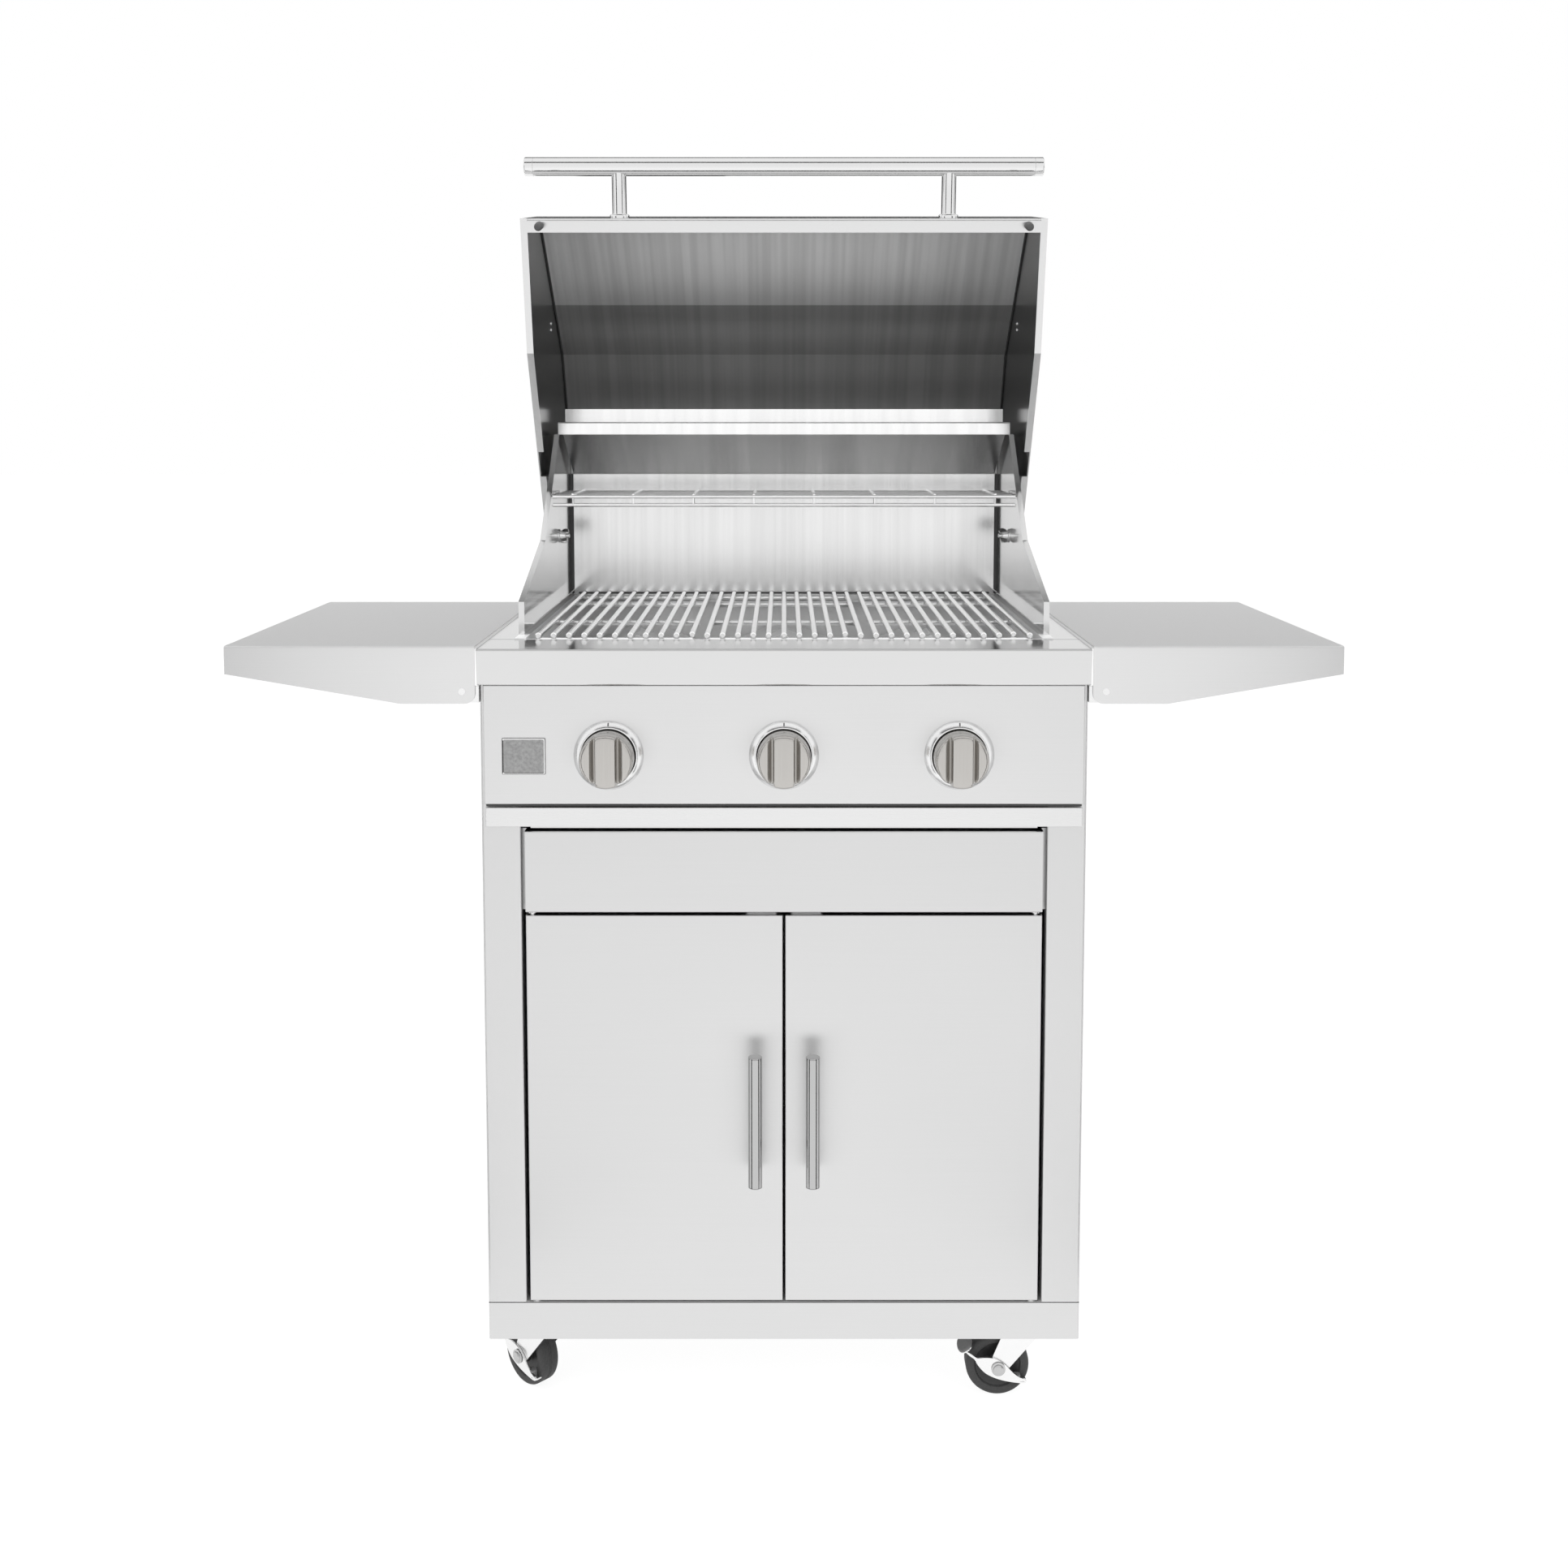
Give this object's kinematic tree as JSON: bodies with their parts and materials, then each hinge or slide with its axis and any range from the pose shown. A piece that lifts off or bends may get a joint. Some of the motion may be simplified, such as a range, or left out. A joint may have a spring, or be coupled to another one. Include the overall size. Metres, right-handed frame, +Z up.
{
  "type": "gas barbecue grill",
  "caption": "Free-standing gas barbecue grill: hinged hood, cooking grates, gas knobs, pull-out drip tray, folding side shelves and a two-door cabinet on castors.",
  "frame": {"origin": "on the floor under the middle of the bounding box with the lid open", "axes": "+Z up, the doors and knobs face -Y, +X to the right seen from the front"},
  "size_m": [1.27, 0.7149, 1.5073],
  "materials": {
    "brushed_stainless": "brushed stainless sheet",
    "polished_stainless": "polished stainless bar",
    "firebox_steel": "plain stainless sheet, heat dulled",
    "satin_nickel": "satin plated casting",
    "zinc_plated": "bright zinc plate",
    "valve_brass": "turned brass",
    "black_rubber": "black rubber"
  },
  "bodies": {
    "cart": {"base_plinth": "brushed_stainless", "cabinet_floor": "brushed_stainless", "side_panel_left": "brushed_stainless", "side_panel_right": "brushed_stainless", "back_panel": "brushed_stainless", "top_fascia": "brushed_stainless", "front_trim": "brushed_stainless", "top_frame": "brushed_stainless", "control_panel": "brushed_stainless", "wing_left": "brushed_stainless", "wing_right": "brushed_stainless", "rear_baffle": "brushed_stainless", "rear_shell": "brushed_stainless", "grate_left": "polished_stainless", "grate_center": "polished_stainless", "grate_right": "polished_stainless", "warming_rack": "polished_stainless", "knob_bezels": "polished_stainless", "firebox_shell": "firebox_steel", "flame_tamers": "firebox_steel", "burners": "firebox_steel", "tray_runners": "firebox_steel", "door_hinge_pins": "zinc_plated", "door_catches": "zinc_plated", "lid_hinge_pins": "zinc_plated", "rotisserie_nuts": "zinc_plated", "shelf_brackets": "zinc_plated", "castor_plates": "zinc_plated", "gas_manifold": "zinc_plated", "gas_valves": "valve_brass"},
    "lid": {"lid_shell": "brushed_stainless", "lid_end_left": "brushed_stainless", "lid_end_right": "brushed_stainless", "lid_handle_bar": "polished_stainless", "lid_handle_posts": "polished_stainless", "lid_bumpers": "black_rubber"},
    "door_left": {"door_left": "brushed_stainless", "door_handle_left": "polished_stainless"},
    "door_right": {"door_right": "brushed_stainless", "door_handle_right": "polished_stainless"},
    "drip_tray": {"drip_tray": "brushed_stainless"},
    "shelf_left": {"shelf_left": "brushed_stainless"},
    "shelf_right": {"shelf_right": "brushed_stainless"},
    "stem_left": {"valve_stem_left": "zinc_plated"},
    "knob_left": {"knob_left": "satin_nickel"},
    "stem_center": {"valve_stem_center": "zinc_plated"},
    "knob_center": {"knob_center": "satin_nickel"},
    "stem_right": {"valve_stem_right": "zinc_plated"},
    "knob_right": {"knob_right": "satin_nickel"},
    "castor_front_left": {"castor_fork_front_left": "zinc_plated"},
    "wheel_front_left": {"castor_wheel_front_left": "black_rubber"},
    "brake_front_left": {"castor_brake_front_left": "zinc_plated"},
    "castor_front_right": {"castor_fork_front_right": "zinc_plated"},
    "wheel_front_right": {"castor_wheel_front_right": "black_rubber"},
    "brake_front_right": {"castor_brake_front_right": "zinc_plated"},
    "castor_rear_left": {"castor_fork_rear_left": "zinc_plated"},
    "wheel_rear_left": {"castor_wheel_rear_left": "black_rubber"},
    "castor_rear_right": {"castor_fork_rear_right": "zinc_plated"},
    "wheel_rear_right": {"castor_wheel_rear_right": "black_rubber"}
  },
  "joints": [
    {"name": "lid_hinge", "type": "hinge", "parent": "cart", "child": "lid", "pos_m": [0, 0.16051, 1.084], "axis": [1, 0, 0], "range_deg": [0, 76]},
    {"name": "door_left_hinge", "type": "hinge", "parent": "cart", "child": "door_left", "pos_m": [-0.2908, -0.30199, 0.37], "axis": [0, 0, 1], "range_deg": [-105, 0]},
    {"name": "door_right_hinge", "type": "hinge", "parent": "cart", "child": "door_right", "pos_m": [0.2908, -0.30199, 0.37], "axis": [0, 0, 1], "range_deg": [0, 105]},
    {"name": "drip_tray_slide", "type": "slide", "parent": "cart", "child": "drip_tray", "axis": [0, -1, 0], "range_m": [0, 0.4]},
    {"name": "shelf_left_fold", "type": "hinge", "parent": "cart", "child": "shelf_left", "pos_m": [-0.366, -0.09249, 0.865], "axis": [0, 1, 0], "range_deg": [-90, 0]},
    {"name": "shelf_right_fold", "type": "hinge", "parent": "cart", "child": "shelf_right", "pos_m": [0.366, -0.09249, 0.865], "axis": [0, 1, 0], "range_deg": [0, 90]},
    {"name": "knob_left_turn", "type": "hinge", "parent": "cart", "child": "stem_left", "pos_m": [-0.2, -0.32149, 0.791], "axis": [0, -1, 0], "range_deg": [0, 220]},
    {"name": "knob_left_push", "type": "slide", "parent": "stem_left", "child": "knob_left", "axis": [0, 1, 0], "range_m": [0, 0.004], "stiffness_N_per_m": 900},
    {"name": "knob_center_turn", "type": "hinge", "parent": "cart", "child": "stem_center", "pos_m": [0, -0.32149, 0.791], "axis": [0, -1, 0], "range_deg": [0, 220]},
    {"name": "knob_center_push", "type": "slide", "parent": "stem_center", "child": "knob_center", "axis": [0, 1, 0], "range_m": [0, 0.004], "stiffness_N_per_m": 900},
    {"name": "knob_right_turn", "type": "hinge", "parent": "cart", "child": "stem_right", "pos_m": [0.2, -0.32149, 0.791], "axis": [0, -1, 0], "range_deg": [0, 220]},
    {"name": "knob_right_push", "type": "slide", "parent": "stem_right", "child": "knob_right", "axis": [0, 1, 0], "range_m": [0, 0.004], "stiffness_N_per_m": 900},
    {"name": "castor_front_left_swivel", "type": "hinge", "parent": "cart", "child": "castor_front_left", "pos_m": [-0.287, -0.25649, 0.09], "axis": [0, 0, 1], "continuous": true},
    {"name": "wheel_front_left_roll", "type": "hinge", "parent": "castor_front_left", "child": "wheel_front_left", "pos_m": [-0.30821, -0.23528, 0.038], "axis": [-0.7071, -0.7071, 0], "continuous": true},
    {"name": "brake_front_left_press", "type": "hinge", "parent": "castor_front_left", "child": "brake_front_left", "pos_m": [-0.30821, -0.23528, 0.038], "axis": [-0.7071, -0.7071, 0], "range_deg": [0, 14]},
    {"name": "castor_front_right_swivel", "type": "hinge", "parent": "cart", "child": "castor_front_right", "pos_m": [0.287, -0.25649, 0.09], "axis": [0, 0, 1], "continuous": true},
    {"name": "wheel_front_right_roll", "type": "hinge", "parent": "castor_front_right", "child": "wheel_front_right", "pos_m": [0.257, -0.25649, 0.038], "axis": [0, -1, 0], "continuous": true},
    {"name": "brake_front_right_press", "type": "hinge", "parent": "castor_front_right", "child": "brake_front_right", "pos_m": [0.257, -0.25649, 0.038], "axis": [0, -1, 0], "range_deg": [0, 14]},
    {"name": "castor_rear_left_swivel", "type": "hinge", "parent": "cart", "child": "castor_rear_left", "pos_m": [-0.287, 0.17851, 0.09], "axis": [0, 0, 1], "continuous": true},
    {"name": "wheel_rear_left_roll", "type": "hinge", "parent": "castor_rear_left", "child": "wheel_rear_left", "pos_m": [-0.31519, 0.16825, 0.038], "axis": [0.342, -0.9397, 0], "continuous": true},
    {"name": "castor_rear_right_swivel", "type": "hinge", "parent": "cart", "child": "castor_rear_right", "pos_m": [0.287, 0.17851, 0.09], "axis": [0, 0, 1], "continuous": true},
    {"name": "wheel_rear_right_roll", "type": "hinge", "parent": "castor_rear_right", "child": "wheel_rear_right", "pos_m": [0.25802, 0.18628, 0.038], "axis": [-0.2588, -0.9659, 0], "continuous": true}
  ]
}
